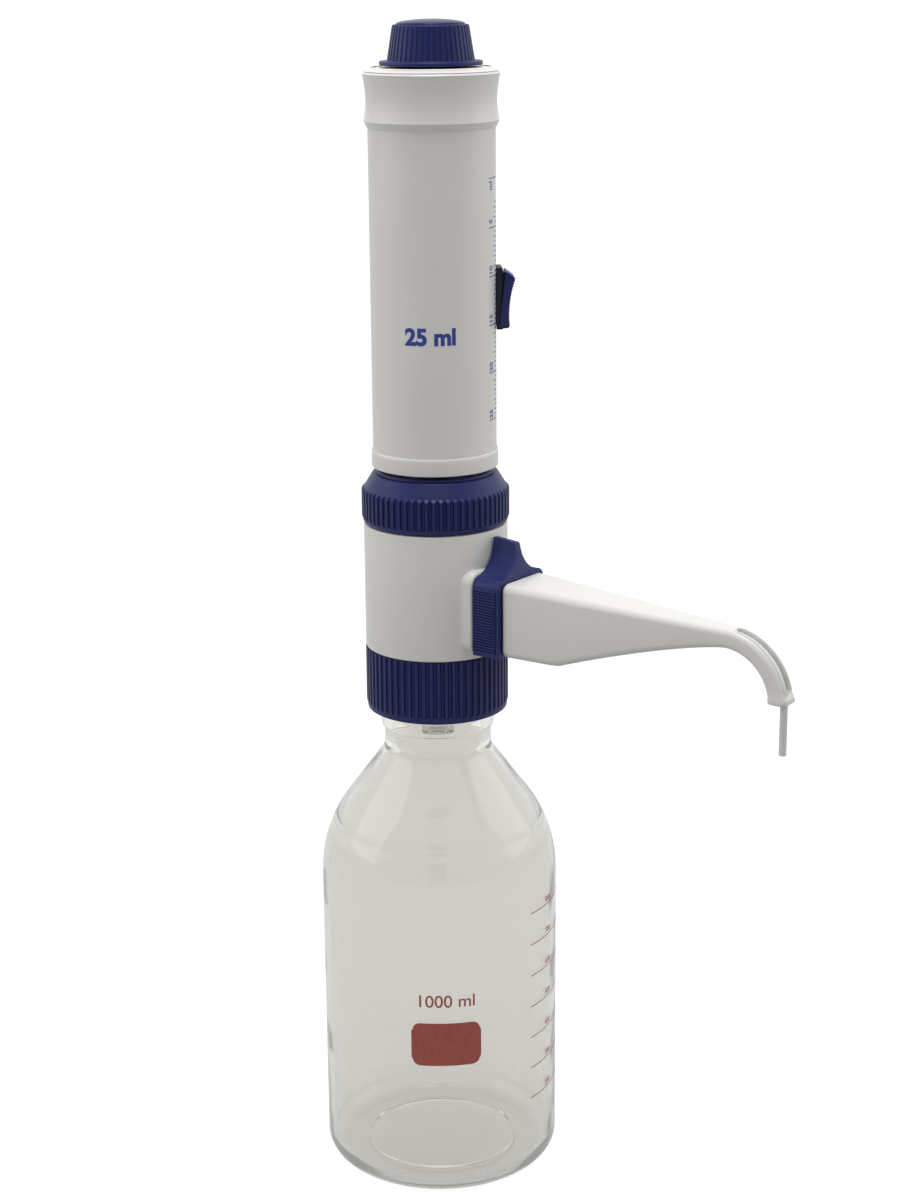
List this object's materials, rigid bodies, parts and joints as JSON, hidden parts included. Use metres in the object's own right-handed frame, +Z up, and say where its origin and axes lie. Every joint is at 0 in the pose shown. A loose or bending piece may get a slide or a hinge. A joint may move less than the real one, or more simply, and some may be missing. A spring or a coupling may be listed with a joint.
{
  "type": "bottle-top dispenser",
  "caption": "Piston dispenser screwed on a clear glass bottle, with a scaled sliding sleeve, volume slider, navy ribbed collars and a long curved discharge nozzle.",
  "frame": {"origin": "centre of the bottle's base, on the surface it stands on", "axes": "+Z up along the bottle and the piston, +X along the nozzle, +Y to the left of the nozzle seen from behind it"},
  "size_m": [0.2197, 0.101, 0.4879],
  "materials": {
    "bottle_glass": "clear polished borosilicate glass with a faint grey-green tint",
    "clear_plastic": "clear polished plastic",
    "white_plastic": "satin moulded white plastic",
    "white_fluoropolymer": "waxy white machined fluoropolymer",
    "navy_plastic": "satin moulded navy plastic",
    "navy_gloss": "glossy navy plastic",
    "dark_plastic": "satin dark blue-black plastic",
    "black_rubber": "matt black elastomer",
    "silicone": "matt translucent white silicone",
    "ceramic": "polished ivory ceramic",
    "clear_tube": "translucent fluoropolymer tube",
    "spring_steel": "drawn bright spring wire"
  },
  "bodies": {
    "bottle": {"glass_bottle": "bottle_glass"},
    "seat": {"bottle_gasket": "silicone", "seat_ring": "white_fluoropolymer"},
    "collar": {"collar_nut": "navy_plastic"},
    "block": {"valve_block": "white_fluoropolymer", "block_shell": "white_plastic", "intake_valve_housing": "white_fluoropolymer", "intake_seat": "white_fluoropolymer", "ball_cage": "white_fluoropolymer", "cylinder_seal": "white_fluoropolymer", "glass_cylinder": "bottle_glass", "guard_tube": "clear_plastic", "stop_cap": "white_plastic", "nozzle_housing": "white_plastic", "discharge_tube": "clear_tube", "discharge_seat": "white_fluoropolymer", "discharge_spring": "spring_steel", "discharge_fitting": "white_fluoropolymer"},
    "intake_valve_ball": {"intake_ball": "ceramic"},
    "discharge_valve_ball": {"discharge_ball": "ceramic"},
    "lock": {"lock_ring": "navy_plastic"},
    "piston": {"piston_head": "white_fluoropolymer", "piston_seal": "black_rubber", "piston_rod": "white_fluoropolymer", "rod_nut": "white_plastic", "outer_sleeve": "white_plastic", "sleeve_end_ring": "white_plastic", "sleeve_head": "white_plastic", "slider_rack": "white_plastic"},
    "slider": {"slider_base": "dark_plastic", "button_spring": "spring_steel"},
    "button": {"finger_button": "navy_plastic", "pawl_plate": "dark_plastic"},
    "knob": {"top_knob": "navy_plastic", "knob_cap": "navy_gloss"},
    "clip": {"nozzle_clip": "navy_plastic"}
  },
  "joints": [
    {"name": "unscrew_rise", "type": "slide", "parent": "bottle", "child": "seat", "axis": [0, 0, 1], "range_m": [0, 0.0101]},
    {"name": "collar_turn", "type": "hinge", "parent": "seat", "child": "collar", "pos_m": [0, 0, 0.2194], "axis": [0, 0, 1], "range_deg": [0, 900]},
    {"name": "block_swivel", "type": "hinge", "parent": "seat", "child": "block", "pos_m": [0, 0, 0.2277], "axis": [0, 0, 1], "continuous": true},
    {"name": "lock_ring_turn", "type": "hinge", "parent": "block", "child": "lock", "pos_m": [0, 0, 0.297], "axis": [0, 0, 1], "range_deg": [0, 45]},
    {"name": "piston_stroke", "type": "slide", "parent": "block", "child": "piston", "axis": [0, 0, 1], "range_m": [0, 0.0968]},
    {"name": "volume_slide", "type": "slide", "parent": "piston", "child": "slider", "axis": [0, 0, 1], "range_m": [-0.0484, 0.0387]},
    {"name": "button_press", "type": "slide", "parent": "slider", "child": "button", "axis": [-0.766, -0.6428, 0], "range_m": [0, 0.0009], "stiffness_N_per_m": 400, "springref_m": -0.0005, "deforming": ["button_spring"]},
    {"name": "knob_turn", "type": "hinge", "parent": "piston", "child": "knob", "pos_m": [0, 0, 0.478], "axis": [0, 0, 1], "range_deg": [0, 90]},
    {"name": "clip_slide", "type": "slide", "parent": "block", "child": "clip", "axis": [0, 0, 1], "range_m": [0, 0.012]},
    {"name": "intake_ball_lift", "type": "slide", "parent": "block", "child": "intake_valve_ball", "axis": [0, 0, 1], "range_m": [0, 0.0015]},
    {"name": "discharge_ball_lift", "type": "slide", "parent": "block", "child": "discharge_valve_ball", "axis": [1, 0, 0], "range_m": [0, 0.0015], "stiffness_N_per_m": 30, "springref_m": -0.002, "deforming": ["discharge_spring"]}
  ],
  "couplings": [
    {"joint": "unscrew_rise", "follows": "collar_turn", "m_per_rad": 0.00063662}
  ]
}
